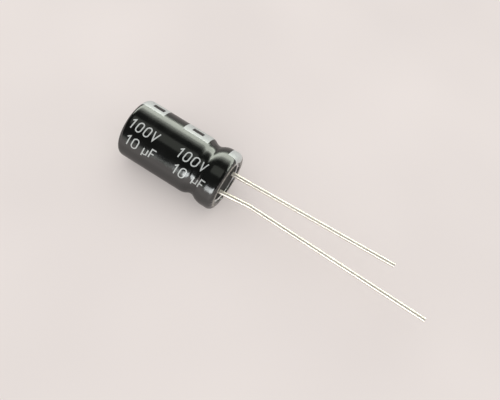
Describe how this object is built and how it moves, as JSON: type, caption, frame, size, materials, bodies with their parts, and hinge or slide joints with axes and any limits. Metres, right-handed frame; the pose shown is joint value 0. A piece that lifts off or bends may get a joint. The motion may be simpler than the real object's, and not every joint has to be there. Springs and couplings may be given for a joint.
{
  "type": "electrolytic capacitor",
  "caption": "Small radial electrolytic capacitor: a grooved, curl-rimmed can in a shrunk film sleeve with two round wire leads of unequal length, for a through-hole board.",
  "frame": {"origin": "centre of the rolled rim's crest plane, on the can's axis", "axes": "+Z out of the rim along the can's axis, towards the leads; +Y towards the cathode lead, which is the shorter one; +X square to the plane of the leads. It stands on its flat closed end, leads up, and that end is 11.7 mm below the origin"},
  "size_m": [0.0066, 0.0066, 0.0355],
  "materials": {
    "sleeve": "shrunk black film with white print",
    "can": "drawn, satin",
    "seal": "moulded, matt",
    "lead": "bright tin on copper-clad steel",
    "tab": "plain",
    "anode_foil": "etched and oxidised, matt",
    "cathode_foil": "etched, matt",
    "separator": "soaked with electrolyte",
    "tape": "thin film"
  },
  "bodies": {
    "root": {"sleeve": "sleeve", "can": "can", "seal": "seal", "anode_lead": "lead", "cathode_lead": "lead", "anode_tab": "tab", "cathode_tab": "tab", "anode_foil": "anode_foil", "cathode_foil": "cathode_foil", "inner_separator": "separator", "outer_separator": "separator", "winding_tape": "tape"}
  },
  "joints": []
}
